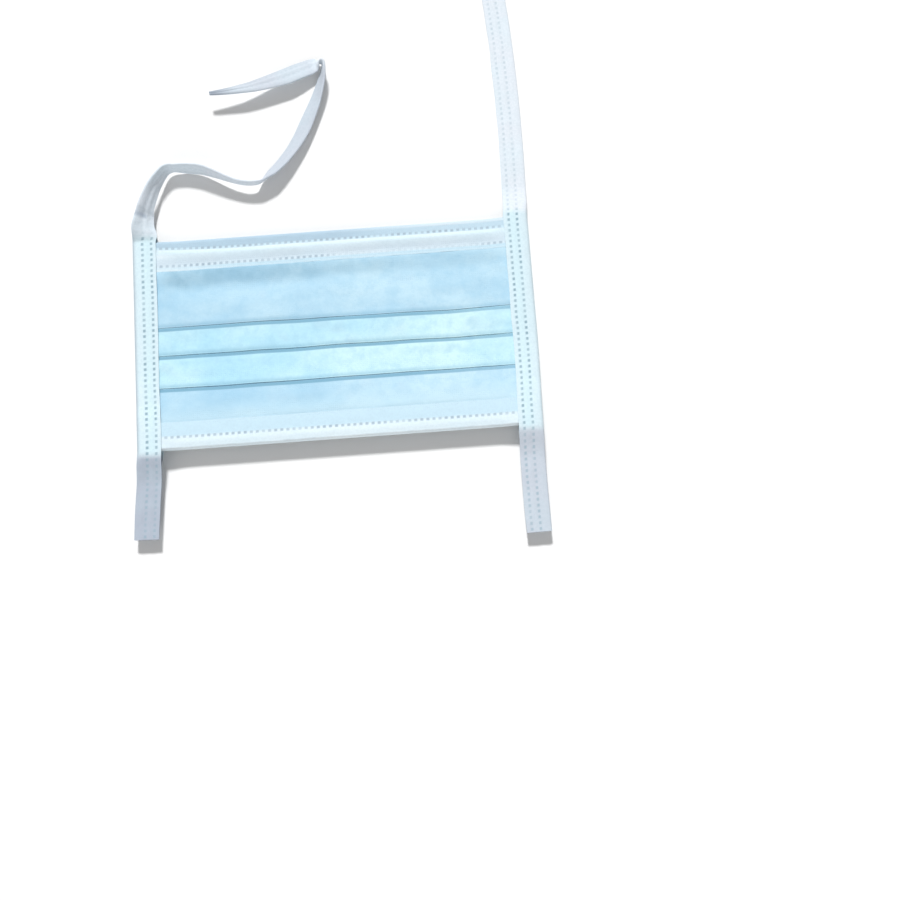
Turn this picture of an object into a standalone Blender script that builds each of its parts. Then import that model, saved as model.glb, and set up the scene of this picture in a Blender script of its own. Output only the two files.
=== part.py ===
"""Tie-on face mask lying on its back: a pleated cloth body bound at both sides by
folded tapes that run on past it as four flat ties.

Metres, +Z up. X runs along the body's width, Y from the chin edge to the nose edge,
Z out of the front face. The origin is the centre of the body's back, on the surface
that the mask lies on.
"""

import math
from collections import namedtuple

import bmesh
import bpy
from mathutils import Vector

# Body, from the outer fold of one tape to that of the other, and edge to edge
BODY_WIDTH = 0.175
BODY_HEIGHT = 0.095

# Cloth walls, and the clearance that neighbouring pieces and folded layers keep
PLY_WALL = 0.001
TAPE_WALL = 0.001
GAP = 0.0003

# Tapes: folded width, thickness of a free tie, and the stretch that thins down to it
TAPE_WIDTH = 0.0105
TIE_THICKNESS = 0.0012
TAPER_LENGTH = 0.009

# Free lengths of the ties, from the body's edge to the cut end, and the slanting cut
UPPER_LEFT_TIE_LENGTH = 0.1985
UPPER_RIGHT_TIE_LENGTH = 0.204
LOWER_LEFT_TIE_LENGTH = 0.0375
LOWER_RIGHT_TIE_LENGTH = 0.046
SLANT_LENGTH = 0.036
SLANT_TIP = 0.15

# Nose wire and the weld rows on both sides of it, counted down from the nose edge
WIRE_WIDTH = 0.0045
WIRE_THICKNESS = 0.0008
TOP_WELD_INSET = 0.0046
WELD_TO_WIRE = 0.00145
HEM_LIP = 0.0024

# Chin hem: the inner ply turned over the chin edge onto the front
CHIN_HEM = 0.012

# The plies ease up into the tapes over this length
EDGE_EASE = 0.010
# Height to length of the slope where the outer ply climbs onto a pleat
PLEAT_SLOPE = 1.0

ARC_STEPS = 5
EASE_STEPS = 4
TURN_PER_STATION = 14.0
LENGTH_PER_STATION = 0.009

# Pleats from the nose edge down: "edge" is where the visible fold lies and "depth"
# how far its hidden layers reach up behind it, both as shares of the body's height
Pleat = namedtuple("Pleat", "edge depth")
PLEATS = (
    Pleat(edge=0.420, depth=0.112),
    Pleat(edge=0.555, depth=0.112),
    Pleat(edge=0.712, depth=0.112),
)

# Ties: "share" of the tie's length, "heading" in degrees from +X towards +Y, "lean" in
# degrees, by which the strip's right edge is raised (below zero, its left edge), "lift"
# of the lower edge above the surface, and "width" as a share of the tape's width where
# the strip is gathered
Bend = namedtuple("Bend", "share heading lean lift width", defaults=(0.0, 1.0))
UPPER_LEFT_TIE = (
    Bend(share=0.0000, heading=88, lean=0),
    Bend(share=0.0207, heading=87, lean=-22, lift=0.0008),
    Bend(share=0.0403, heading=84, lean=-38, lift=0.0016, width=0.94),
    Bend(share=0.0801, heading=72, lean=-52, lift=0.0028, width=0.82),
    Bend(share=0.1285, heading=64, lean=-64, lift=0.0034, width=0.76),
    Bend(share=0.1683, heading=54, lean=-77, lift=0.0026, width=0.72),
    Bend(share=0.1945, heading=-2, lean=-88, lift=0.0018, width=0.62),
    Bend(share=0.2202, heading=-7, lean=-83, lift=0.0008, width=0.72),
    Bend(share=0.2443, heading=-10, lean=-82, lift=0.0008, width=0.76),
    Bend(share=0.2680, heading=-25, lean=-84, lift=0.0014, width=0.74),
    Bend(share=0.3023, heading=-29, lean=-88, lift=0.0026, width=0.58),
    Bend(share=0.3375, heading=-20, lean=-90, lift=0.0034, width=0.42),
    Bend(share=0.3683, heading=-7, lean=-91, lift=0.0038, width=0.38),
    Bend(share=0.3859, heading=4, lean=-96, lift=0.0034, width=0.42),
    Bend(share=0.4020, heading=37, lean=-112, lift=0.0014, width=0.62),
    Bend(share=0.4307, heading=41, lean=-128, lift=0.0006, width=0.80),
    Bend(share=0.4997, heading=55, lean=-142, lift=0.0005, width=0.68),
    Bend(share=0.5718, heading=65, lean=-156, lift=0.0005, width=0.66),
    Bend(share=0.6322, heading=68, lean=-143, lift=0.0005, width=0.62),
    Bend(share=0.6841, heading=73, lean=-125, lift=0.0010, width=0.62),
    Bend(share=0.7204, heading=83, lean=-100, lift=0.0016, width=0.66),
    Bend(share=0.7335, heading=188, lean=-70, lift=0.0014, width=0.72),
    Bend(share=0.7446, heading=200, lean=-22, lift=0.0014, width=0.74),
    Bend(share=0.7597, heading=202, lean=-12, lift=0.0018, width=0.76),
    Bend(share=0.7909, heading=203, lean=-11, lift=0.0030, width=0.80),
    Bend(share=0.8539, heading=203, lean=-8, lift=0.0044, width=0.80),
    Bend(share=0.8892, heading=200, lean=-7, lift=0.0051, width=0.80),
    Bend(share=0.9244, heading=194, lean=-6, lift=0.0058, width=0.80),
    Bend(share=1.0000, heading=188, lean=-6, lift=0.0062, width=0.80),
)
UPPER_RIGHT_TIE = (
    Bend(share=0.00, heading=87, lean=0),
    Bend(share=0.12, heading=89, lean=0),
    Bend(share=0.30, heading=91, lean=0),
    Bend(share=0.50, heading=94, lean=0),
    Bend(share=1.00, heading=97, lean=0),
)
LOWER_LEFT_TIE = (
    Bend(share=0.00, heading=266, lean=0),
    Bend(share=0.50, heading=265, lean=0),
    Bend(share=1.00, heading=268, lean=0),
)
LOWER_RIGHT_TIE = (
    Bend(share=0.00, heading=268, lean=0),
    Bend(share=0.50, heading=270, lean=0),
    Bend(share=1.00, heading=271, lean=0),
)

LAYER_STEP = PLY_WALL + GAP
HEM_FOLD_RADIUS = (3 * PLY_WALL + 2 * GAP) / 2
SECOND_WELD_INSET = TOP_WELD_INSET + 2 * WELD_TO_WIRE + WIRE_WIDTH
NOSE_HEM = SECOND_WELD_INSET + HEM_LIP
WIRE_CENTRE = TOP_WELD_INSET + WELD_TO_WIRE + WIRE_WIDTH / 2
WIRE_RISE = WIRE_THICKNESS + GAP

SLOT_BOTTOM = TAPE_WALL
SLOT_TOP = SLOT_BOTTOM + GAP + PLY_WALL + GAP + PLY_WALL + GAP
BINDING_HEIGHT = SLOT_TOP + TAPE_WALL
SLOT_EDGE = BODY_WIDTH / 2 - TAPE_WIDTH
PLY_EDGE = BODY_WIDTH / 2 - TAPE_WALL - GAP
HEM_EDGE = SLOT_EDGE - GAP

OUTER_COLOUR = (0.47, 0.75, 0.91, 1.0)
INNER_COLOUR = (0.84, 0.92, 0.96, 1.0)
TAPE_COLOUR = (0.80, 0.86, 0.92, 1.0)
WIRE_COLOUR = (0.72, 0.74, 0.77, 1.0)


def clear_scene():
    """Remove every object that the file holds."""
    for item in list(bpy.data.objects):
        bpy.data.objects.remove(item, do_unlink=True)


def make_material(name, colour, roughness, metallic=0.0):
    """A plain surface finish for one sub-part."""
    material = bpy.data.materials.new(name)
    material.use_nodes = True
    shader = material.node_tree.nodes["Principled BSDF"]
    shader.inputs["Base Color"].default_value = colour
    shader.inputs["Roughness"].default_value = roughness
    shader.inputs["Metallic"].default_value = metallic
    return material


def add_object(name, mesh, material):
    """Link a mesh to the scene as one named sub-part."""
    mesh.materials.append(material)
    item = bpy.data.objects.new(name, mesh)
    bpy.context.scene.collection.objects.link(item)
    return item


def smoothstep(value):
    """Ease from 0 to 1 with flat ends."""
    value = min(1.0, max(0.0, value))
    return value * value * (3.0 - 2.0 * value)


def mix(low, high, share):
    """Straight blend between two values."""
    return low + (high - low) * share


def edge_ease(x):
    """0 over the middle of the body and 1 inside the tapes."""
    return smoothstep(1.0 - (HEM_EDGE - abs(x)) / EDGE_EASE)


def body_stations(reach):
    """Places across the width where a ply's section is drawn, out to +-reach."""
    side = [HEM_EDGE - EDGE_EASE * (1.0 - k / EASE_STEPS) for k in range(EASE_STEPS + 1)]
    if reach > HEM_EDGE:
        side.append(reach)
    return [-x for x in reversed(side)] + side


def arc(centre, radius, start, end):
    """Points on an arc in the (distance down, height) plane, angles in degrees."""
    points = []
    for k in range(ARC_STEPS + 1):
        angle = math.radians(mix(start, end, k / ARC_STEPS))
        points.append(Vector((centre[0] + radius * math.cos(angle), centre[1] + radius * math.sin(angle))))
    return points


def sheet_sides(path, wall):
    """The two faces of a sheet of cloth that follows a centre line."""
    left, right = [], []
    for k, point in enumerate(path):
        before = (point - path[k - 1]).normalized() if k else None
        after = (path[k + 1] - point).normalized() if k + 1 < len(path) else None
        before = before or after
        after = after or before
        along = (before + after).normalized()
        normal = Vector((-along.y, along.x))
        reach = wall / 2 / max(0.5, along.dot(before))
        left.append(point + normal * reach)
        right.append(point - normal * reach)
    return left, right


def pleated_path():
    """Centre line of the outer ply from the nose edge down, and what presses flat.

    Each point comes with 1 where the sheet belongs to a pleat, whose three layers
    are pressed into one wall inside the tapes, and 0 where it is a single layer.
    """
    low = PLY_WALL / 2
    high = low + 2 * LAYER_STEP
    turn = LAYER_STEP / 2
    tip = turn + PLY_WALL / 2
    rise = 2 * LAYER_STEP
    clearance = (turn + PLY_WALL + GAP) * math.sqrt(2.0) - (high - low - turn)
    path = [(Vector((HEM_FOLD_RADIUS, low)), 0)]
    for index, pleat in enumerate(PLEATS):
        front = pleat.edge * BODY_HEIGHT - tip
        back = (pleat.edge - pleat.depth) * BODY_HEIGHT + tip
        crest = back - clearance
        path.append((Vector((crest - rise / PLEAT_SLOPE, low)), 1 if index else 0))
        path.append((Vector((crest, high)), 1))
        path += [(p, 1) for p in arc((front, high - turn), turn, 90, -90)]
        path += [(p, 1) for p in arc((back, low + turn), turn, 90, 270)]
    last = PLEATS[-1].edge * BODY_HEIGHT
    path.append((Vector((last + GAP, low)), 1))
    path.append((Vector((last + GAP + rise, low)), 0))
    path.append((Vector((BODY_HEIGHT - HEM_FOLD_RADIUS, low)), 0))
    return path


def loft(rings, close_ends=True):
    """Skin a row of closed rings that all have as many points."""
    shell = bmesh.new()
    loops = [[shell.verts.new(point) for point in ring] for ring in rings]
    for first, second in zip(loops, loops[1:]):
        for k in range(len(first)):
            n = (k + 1) % len(first)
            shell.faces.new((first[k], first[n], second[n], second[k]))
    if close_ends:
        shell.faces.new(list(reversed(loops[0])))
        shell.faces.new(loops[-1])
    return shell, loops


def finish_mesh(shell, name):
    """Turn the faces outward and hand the shell over as a mesh."""
    bmesh.ops.recalc_face_normals(shell, faces=shell.faces[:])
    mesh = bpy.data.meshes.new(name)
    shell.to_mesh(mesh)
    shell.free()
    mesh.shade_smooth()
    mesh.set_sharp_from_angle(angle=math.radians(35))
    return mesh


def build_outer_ply(material):
    """Front sheet with three pleats that open downward."""
    path = pleated_path()
    left, right = sheet_sides([point for point, _ in path], PLY_WALL)
    outline = left + list(reversed(right))
    pressed = [share for _, share in path]
    pressed += list(reversed(pressed))
    stack = 3 * PLY_WALL + 2 * GAP
    rings = []
    for x in body_stations(PLY_EDGE):
        ease = edge_ease(x)
        floor = LAYER_STEP + ease * (TAPE_WALL + GAP)
        ring = []
        for point, share in zip(outline, pressed):
            squeeze = mix(1.0, PLY_WALL / stack, ease * share)
            ring.append(Vector((x, BODY_HEIGHT / 2 - point.x, floor + point.y * squeeze)))
        rings.append(ring)
    shell, _ = loft(rings)
    return add_object("outer_ply", finish_mesh(shell, "outer_ply"), material)


def hemmed_path():
    """Centre line of the inner ply: nose flap, nose fold, back, chin fold, chin flap."""
    low = PLY_WALL / 2
    radius = HEM_FOLD_RADIUS - PLY_WALL / 2
    flap = low + 2 * radius
    chin = BODY_HEIGHT - HEM_FOLD_RADIUS
    wire_start = WIRE_CENTRE - WIRE_WIDTH / 2 - GAP
    wire_end = WIRE_CENTRE + WIRE_WIDTH / 2 + GAP
    path = [
        Vector((NOSE_HEM, flap)),
        Vector((SECOND_WELD_INSET, flap)),
        Vector((wire_end, flap + WIRE_RISE)),
        Vector((wire_start, flap + WIRE_RISE)),
        Vector((TOP_WELD_INSET, flap)),
    ]
    path += arc((HEM_FOLD_RADIUS, HEM_FOLD_RADIUS), radius, 90, 270)
    back_start = len(path) - 1
    path += arc((chin, HEM_FOLD_RADIUS), radius, -90, 90)
    path.append(Vector((BODY_HEIGHT - CHIN_HEM, flap)))
    return path, back_start


def build_inner_ply(material):
    """Back sheet whose nose and chin margins are turned over onto the front."""
    path, back_start = hemmed_path()
    left, right = sheet_sides(path, PLY_WALL)
    outline = left + list(reversed(right))
    back_face = [back_start, back_start + 1]
    back_face += [len(outline) - 1 - back_start - 1, len(outline) - 1 - back_start]
    rings = []
    for x in body_stations(HEM_EDGE):
        lift = edge_ease(x) * (TAPE_WALL + GAP)
        rings.append([Vector((x, BODY_HEIGHT / 2 - p.x, p.y + lift)) for p in outline])
    shell, loops = loft(rings, close_ends=False)
    nose_part = list(range(0, back_start + 1)) + list(range(back_face[3], len(outline)))
    chin_part = list(range(back_face[1], back_face[2] + 1))
    for loop, side in ((loops[0], -1), (loops[-1], 1)):
        shell.faces.new([loop[k] for k in nose_part])
        shell.faces.new([loop[k] for k in chin_part])
        tab = [shell.verts.new(Vector((side * PLY_EDGE, loop[k].co.y, loop[k].co.z))) for k in back_face]
        shell.faces.new(tab)
        for k in range(4):
            n = (k + 1) % 4
            shell.faces.new((loop[back_face[k]], loop[back_face[n]], tab[n], tab[k]))
    return add_object("inner_ply", finish_mesh(shell, "inner_ply"), material)


def build_nose_wire(material):
    """Flat wire sealed in the nose hem between its two weld rows."""
    bottom = 2 * LAYER_STEP
    rings = []
    for x in body_stations(HEM_EDGE):
        lift = edge_ease(x) * (TAPE_WALL + GAP)
        y = BODY_HEIGHT / 2 - WIRE_CENTRE
        half = WIRE_WIDTH / 2
        z = bottom + lift
        rings.append([
            Vector((x, y - half, z)),
            Vector((x, y + half, z)),
            Vector((x, y + half, z + WIRE_THICKNESS)),
            Vector((x, y - half, z + WIRE_THICKNESS)),
        ])
    shell, _ = loft(rings)
    return add_object("nose_wire", finish_mesh(shell, "nose_wire"), material)


def tie_stations(bends, length):
    """Steps along a tie: length so far and the bend's values, closer where it turns."""
    stations = [(0.0,) + tuple(bends[0][1:])]
    for first, second in zip(bends, bends[1:]):
        run = (second.share - first.share) * length
        by_turn = abs(second.heading - first.heading) / TURN_PER_STATION
        steps = max(1, math.ceil(by_turn), math.ceil(run / LENGTH_PER_STATION))
        for k in range(1, steps + 1):
            part = k / steps
            values = [mix(a, b, part) for a, b in zip(first[1:], second[1:])]
            stations.append((first.share * length + run * part, *values))
    return stations


def add_taper(stations):
    """Put in the stations where the binding has closed and where the tie is flat."""
    marks = (TAPE_WALL + GAP, mix(TAPE_WALL, TAPER_LENGTH, 0.5), TAPER_LENGTH)
    extra = []
    for mark in marks:
        for first, second in zip(stations, stations[1:]):
            if first[0] < mark < second[0]:
                part = (mark - first[0]) / (second[0] - first[0])
                extra.append(tuple(mix(a, b, part) for a, b in zip(first, second)))
    return sorted(stations + extra)


def tie_thickness(distance):
    """Thickness of the folded tape at a distance past the body's edge."""
    closed = TAPE_WALL + GAP
    part = smoothstep((distance - closed) / (TAPER_LENGTH - closed))
    return mix(BINDING_HEIGHT, TIE_THICKNESS, part)


def strip_ring(centre, heading, lean, thickness, lift=0.0, left=1.0, right=1.0):
    """Corners of the tape's section: width along the lean, thickness across it."""
    turn = math.radians(heading)
    tilt = math.radians(lean)
    side = Vector((math.sin(turn), -math.cos(turn), 0.0))
    across = side * math.cos(tilt) + Vector((0.0, 0.0, math.sin(tilt)))
    out = Vector((0.0, 0.0, math.cos(tilt))) - side * math.sin(tilt)
    lower = right if tilt < 0.0 else left
    height = lift + TAPE_WIDTH / 2 * lower * abs(math.sin(tilt)) + thickness / 2 * abs(math.cos(tilt))
    middle = Vector((centre.x, centre.y, height))
    low = middle - across * (TAPE_WIDTH / 2 * left)
    high = middle + across * (TAPE_WIDTH / 2 * right)
    up = out * (thickness / 2)
    return [low - up, high - up, high + up, low + up]


def tie_rings(bends, length, start, slant):
    """Sections of one tie, from the body's edge to its cut end."""
    rings = []
    place = Vector(start)
    travelled = 0.0
    heading_before = bends[0].heading
    for distance, heading, lean, lift, width in add_taper(tie_stations(bends, length)):
        course = math.radians((heading + heading_before) / 2)
        place = place + Vector((math.cos(course), math.sin(course))) * (distance - travelled)
        cut = max(0.0, 1.0 - (length - distance) / slant) if slant else 0.0
        left = width * (1.0 - 2 * (1.0 - SLANT_TIP) * cut)
        rings.append(strip_ring(place, heading, lean, tie_thickness(distance), lift, left, width))
        travelled = distance
        heading_before = heading
    return rings


def build_tape(name, side, upper, upper_length, lower, lower_length, slant, material):
    """One folded tape: a tie, the binding along the body's side, and a tie."""
    x = side * (BODY_WIDTH - TAPE_WIDTH) / 2
    top = tie_rings(upper, upper_length, (x, BODY_HEIGHT / 2), slant)
    bottom = tie_rings(lower, lower_length, (x, -BODY_HEIGHT / 2), 0.0)
    top[0] = strip_ring(Vector((x, BODY_HEIGHT / 2, 0.0)), 90, 0, BINDING_HEIGHT)
    bottom[0] = strip_ring(Vector((x, -BODY_HEIGHT / 2, 0.0)), 270, 0, BINDING_HEIGHT)
    turned = [[ring[1], ring[0], ring[3], ring[2]] for ring in reversed(bottom)]
    shell, _ = loft(turned + top)
    tape = add_object(name, finish_mesh(shell, name), material)

    outer = side * (BODY_WIDTH / 2 - TAPE_WALL)
    inner = side * (SLOT_EDGE - TAPE_WALL)
    low = Vector((min(outer, inner), -BODY_HEIGHT / 2 - GAP, SLOT_BOTTOM))
    high = Vector((max(outer, inner), BODY_HEIGHT / 2 + GAP, SLOT_TOP))
    cutter = build_box(name + "_slot_cutter", low, high)
    slot = tape.modifiers.new("slot", "BOOLEAN")
    slot.operation = "DIFFERENCE"
    slot.solver = "EXACT"
    slot.object = cutter
    return tape


def build_box(name, low, high):
    """A hidden cutter with its corners at low and high."""
    shell = bmesh.new()
    bmesh.ops.create_cube(shell, size=1.0)
    for vert in shell.verts:
        vert.co = Vector([mix(a, b, c + 0.5) for a, b, c in zip(low, high, vert.co)])
    mesh = bpy.data.meshes.new(name)
    shell.to_mesh(mesh)
    shell.free()
    item = bpy.data.objects.new(name, mesh)
    bpy.context.scene.collection.objects.link(item)
    item.hide_render = True
    item.display_type = "WIRE"
    return item


def main():
    clear_scene()
    tape = make_material("tape", TAPE_COLOUR, 0.85)
    build_outer_ply(make_material("outer_cloth", OUTER_COLOUR, 0.85))
    build_inner_ply(make_material("inner_cloth", INNER_COLOUR, 0.85))
    build_nose_wire(make_material("wire", WIRE_COLOUR, 0.4, metallic=1.0))
    upper, lower = UPPER_LEFT_TIE_LENGTH, LOWER_LEFT_TIE_LENGTH
    build_tape("left_tape", -1, UPPER_LEFT_TIE, upper, LOWER_LEFT_TIE, lower, SLANT_LENGTH, tape)
    upper, lower = UPPER_RIGHT_TIE_LENGTH, LOWER_RIGHT_TIE_LENGTH
    build_tape("right_tape", 1, UPPER_RIGHT_TIE, upper, LOWER_RIGHT_TIE, lower, 0.0, tape)


main()
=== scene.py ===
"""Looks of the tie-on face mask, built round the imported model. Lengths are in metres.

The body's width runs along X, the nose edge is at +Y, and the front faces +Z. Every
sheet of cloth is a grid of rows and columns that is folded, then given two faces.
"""
import math
from collections import namedtuple

import bpy
import numpy as np
from mathutils import Matrix, Vector


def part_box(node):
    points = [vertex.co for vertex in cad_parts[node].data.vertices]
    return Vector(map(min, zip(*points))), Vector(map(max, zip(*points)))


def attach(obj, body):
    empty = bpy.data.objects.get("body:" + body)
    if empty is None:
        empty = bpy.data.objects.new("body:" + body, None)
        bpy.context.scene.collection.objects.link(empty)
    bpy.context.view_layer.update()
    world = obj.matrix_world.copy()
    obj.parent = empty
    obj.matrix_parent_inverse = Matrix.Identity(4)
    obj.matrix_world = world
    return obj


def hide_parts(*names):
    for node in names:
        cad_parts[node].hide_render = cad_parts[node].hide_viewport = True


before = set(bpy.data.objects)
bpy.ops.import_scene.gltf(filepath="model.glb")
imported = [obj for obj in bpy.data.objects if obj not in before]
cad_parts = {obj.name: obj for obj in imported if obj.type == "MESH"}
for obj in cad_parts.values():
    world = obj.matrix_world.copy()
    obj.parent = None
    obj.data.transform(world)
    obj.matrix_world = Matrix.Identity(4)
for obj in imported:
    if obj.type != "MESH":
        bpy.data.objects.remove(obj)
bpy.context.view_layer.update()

MM = 0.001

# Driving sizes, as far as they can be read from the frame
PLY_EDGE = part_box("outer_ply")[1].x
HALF_HEIGHT = (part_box("inner_ply")[1].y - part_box("inner_ply")[0].y) / 2
BODY_HEIGHT = 2 * HALF_HEIGHT
TAPE_LEG = 1.3 * MM
HALF_WIDTH = PLY_EDGE + TAPE_LEG
TAPE_WIDTH = 10.5 * MM
TAPE_INNER_EDGE = HALF_WIDTH - TAPE_WIDTH

# Cloth: thickness of the white and the blue sheet, and the step between a pleat's layers
CLOTH = 0.42 * MM
FRONT_CLOTH = 0.17 * MM
LAYER_STEP = 0.20 * MM

# Levels above the floor, and how the body eases up into the tapes
BACK_LEVEL = 0.28 * MM
FRONT_LEVEL = 2.35 * MM
PANEL_LEVEL = 3.00 * MM
HEM_LEVEL = 3.36 * MM
TAPE_LIFT = 0.75 * MM
EASE_LENGTH = 10.0 * MM

# Hems and weld rows, as distances from the edge
NOSE_ROW_1 = 4.6 * MM
NOSE_ROW_2 = 12.0 * MM
NOSE_HEM = 14.4 * MM
ROW_RISE = 1.2 * MM
CHIN_ROW = 5.3 * MM
CHIN_HEM = 12.0 * MM
FOLD_DEPTH = 0.8 * MM
HEM_START = 1.8 * MM
HEM_STEP = 0.31 * MM
BACK_STEP = 2.6 * MM
THIN_EDGE = 0.9 * MM
THINNING = 0.28 * MM

# Nose wire, and how far the hem swells over it
WIRE_START = 6.05 * MM
WIRE_WIDTH = 4.5 * MM
WIRE_HEIGHT = 0.8 * MM
WIRE_BULGE = 0.90 * MM

# Chin edge: how far it stands up off the floor, is drawn in at each side and reaches down
CHIN_LIFT = 4.4 * MM
CHIN_LIFT_LENGTH = 39.5 * MM
CHIN_NARROWING = 1.1 * MM
CHIN_DROP = 0.8 * MM

# Weld dots: the distance from dot to dot, their size, and how deep they are pressed
PITCH = 2.5 * MM
HEM_PITCH = 2.63 * MM
DOT_LENGTH = 1.30 * MM
DOT_WIDTH = 1.15 * MM
DOT_DEPTH = 0.20 * MM
DOT_SOFTNESS = 0.35 * MM
COLUMNS_PER_PITCH = 6

# Pleats: where the folded edge shows and how deep the fold goes, as shares of the height
Pleat = namedtuple("Pleat", "edge depth")
PLEATS = (
    Pleat(edge=0.420, depth=0.112),
    Pleat(edge=0.555, depth=0.112),
    Pleat(edge=0.712, depth=0.112),
)
# Painted shade along each pleat edge: how far it reaches above and below the edge
PLEAT_SHADOW_ABOVE = 2.6 * MM
PLEAT_SHADOW_BELOW = 1.5 * MM
FOLD_OVERLAP = 0.5 * MM
CLIMB_LENGTH = 11.0 * MM
CLIMB_END = 0.6 * MM
LIP_LENGTH = 1.2 * MM
BELOW_LAST = 2.5 * MM

# Pleats: spacing of the rows where the sheet climbs, at the lip, on panels and inside
CLIMB_STEP = 0.22 * MM
LIP_STEP = 0.3 * MM
PANEL_STEP = 0.8 * MM
INSIDE_STEP = 1.1 * MM

# Unevenness of the front cloth: heights of its forms, and where the crown and dip lie
PUFF = 0.60 * MM
CROWN = 0.55 * MM
CROWN_PLACE = 0.6 * MM
DIP = 0.65 * MM
DIP_PLACE = 9.0 * MM
PANEL_REACH = 7.0 * MM
SOFT_WAVES = 0.17 * MM
FINE_CREASES = 0.09 * MM
TAPE_GATHERS = 0.14 * MM
EDGE_WANDER = 0.25 * MM

# Unevenness of the white cloth
CHIN_ROLL = 0.28 * MM
CHIN_LIP = 0.12 * MM
HEM_CREASES = 0.07 * MM
HEM_WANDER = 0.12 * MM
BACK_WAVES = 0.35 * MM

# Tapes: weld rows from the outer edge, and the stack that they bind
LEFT_TAPE_ROWS = (4.6 * MM, 8.5 * MM)
RIGHT_TAPE_ROWS = (4.5 * MM, 8.2 * MM)
TAPE_EASE = 5.0 * MM
TIE_THICKNESS = 1.2 * MM
TAPER_LENGTH = 15.0 * MM
FOLD_REACH = 1.1 * MM
CLOSING_LENGTH = 7.0 * MM
TINT_LENGTH = 4.0 * MM
CORNER_PAST = 146.0 * MM
KINK_PAST = 12.0 * MM
KINK_LENGTH = 20.0 * MM
KINK_RISE = 0.9 * MM

# Unevenness of the tapes, and the clearances that they keep
BINDING_WAVES = 0.07 * MM
TIE_WAVES = 0.10 * MM
WIDTH_WAVES = 0.16 * MM
PLUMP_BETWEEN = 0.22 * MM
PLUMP_BESIDE = 0.16 * MM
FOLD_DROP = 0.5 * MM
BOW = 0.35 * MM
BINDING_GAP = 0.04 * MM
FLOOR_GAP = 0.03 * MM

# Ties: the same lengths and course as their solids, and the slanting cut
UPPER_LEFT_TIE_LENGTH = 198.5 * MM
UPPER_RIGHT_TIE_LENGTH = 204.0 * MM
LOWER_LEFT_TIE_LENGTH = 37.5 * MM
LOWER_RIGHT_TIE_LENGTH = 46.0 * MM
SLANT_LENGTH = 36.0 * MM
SLANT_TIP = 0.15
COURSE_SMOOTHING = 1.7 * MM

# Ties: "share" of the tie's length, "heading" in degrees from +X towards +Y, "lean" in
# degrees, by which the strip's right edge is raised (below zero, its left edge), "lift"
# of the lower edge above the surface, and "width" as a share of the tape's width where
# the strip is gathered
Bend = namedtuple("Bend", "share heading lean lift width", defaults=(0.0, 1.0))
UPPER_LEFT_TIE = (
    Bend(share=0.0000, heading=88, lean=0),
    Bend(share=0.0207, heading=87, lean=-22, lift=0.8 * MM),
    Bend(share=0.0403, heading=84, lean=-38, lift=1.6 * MM, width=0.94),
    Bend(share=0.0801, heading=72, lean=-52, lift=2.8 * MM, width=0.82),
    Bend(share=0.1285, heading=64, lean=-64, lift=3.4 * MM, width=0.76),
    Bend(share=0.1683, heading=54, lean=-77, lift=2.6 * MM, width=0.72),
    Bend(share=0.1945, heading=-2, lean=-88, lift=1.8 * MM, width=0.62),
    Bend(share=0.2202, heading=-7, lean=-83, lift=0.8 * MM, width=0.72),
    Bend(share=0.2443, heading=-10, lean=-82, lift=0.8 * MM, width=0.76),
    Bend(share=0.2680, heading=-25, lean=-84, lift=1.4 * MM, width=0.74),
    Bend(share=0.3023, heading=-29, lean=-88, lift=2.6 * MM, width=0.58),
    Bend(share=0.3375, heading=-20, lean=-90, lift=3.4 * MM, width=0.42),
    Bend(share=0.3683, heading=-7, lean=-91, lift=3.8 * MM, width=0.38),
    Bend(share=0.3859, heading=4, lean=-96, lift=3.4 * MM, width=0.42),
    Bend(share=0.4020, heading=37, lean=-112, lift=1.4 * MM, width=0.62),
    Bend(share=0.4307, heading=41, lean=-128, lift=0.6 * MM, width=0.80),
    Bend(share=0.4997, heading=55, lean=-142, lift=0.5 * MM, width=0.68),
    Bend(share=0.5718, heading=65, lean=-156, lift=0.5 * MM, width=0.66),
    Bend(share=0.6322, heading=68, lean=-143, lift=0.5 * MM, width=0.62),
    Bend(share=0.6841, heading=73, lean=-125, lift=1.0 * MM, width=0.62),
    Bend(share=0.7204, heading=83, lean=-100, lift=1.6 * MM, width=0.66),
    Bend(share=0.7335, heading=188, lean=-70, lift=1.4 * MM, width=0.72),
    Bend(share=0.7446, heading=200, lean=-22, lift=1.4 * MM, width=0.74),
    Bend(share=0.7597, heading=202, lean=-12, lift=1.8 * MM, width=0.76),
    Bend(share=0.7909, heading=203, lean=-11, lift=3.0 * MM, width=0.80),
    Bend(share=0.8539, heading=203, lean=-8, lift=4.4 * MM, width=0.80),
    Bend(share=0.8892, heading=200, lean=-7, lift=5.1 * MM, width=0.80),
    Bend(share=0.9244, heading=194, lean=-6, lift=5.8 * MM, width=0.80),
    Bend(share=1.0000, heading=188, lean=-6, lift=6.2 * MM, width=0.80),
)
UPPER_RIGHT_TIE = (
    Bend(share=0.00, heading=87, lean=0),
    Bend(share=0.12, heading=89, lean=0),
    Bend(share=0.30, heading=91, lean=0),
    Bend(share=0.50, heading=94, lean=0),
    Bend(share=1.00, heading=97, lean=0),
)
LOWER_LEFT_TIE = (
    Bend(share=0.00, heading=266, lean=0),
    Bend(share=0.50, heading=265, lean=0),
    Bend(share=1.00, heading=268, lean=0),
)
LOWER_RIGHT_TIE = (
    Bend(share=0.00, heading=268, lean=0),
    Bend(share=0.50, heading=270, lean=0),
    Bend(share=1.00, heading=271, lean=0),
)

# Camera: the point of the floor that it looks at, its distance, angle, roll and lens
AIM = Vector((46.106 * MM, -55.365 * MM, 0.0))
CAMERA_DISTANCE = 577.58 * MM
CAMERA_ELEVATION = 78.0
CAMERA_ROLL = -4.137
CAMERA_LENS = 53.805
SENSOR = 36.0

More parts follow.
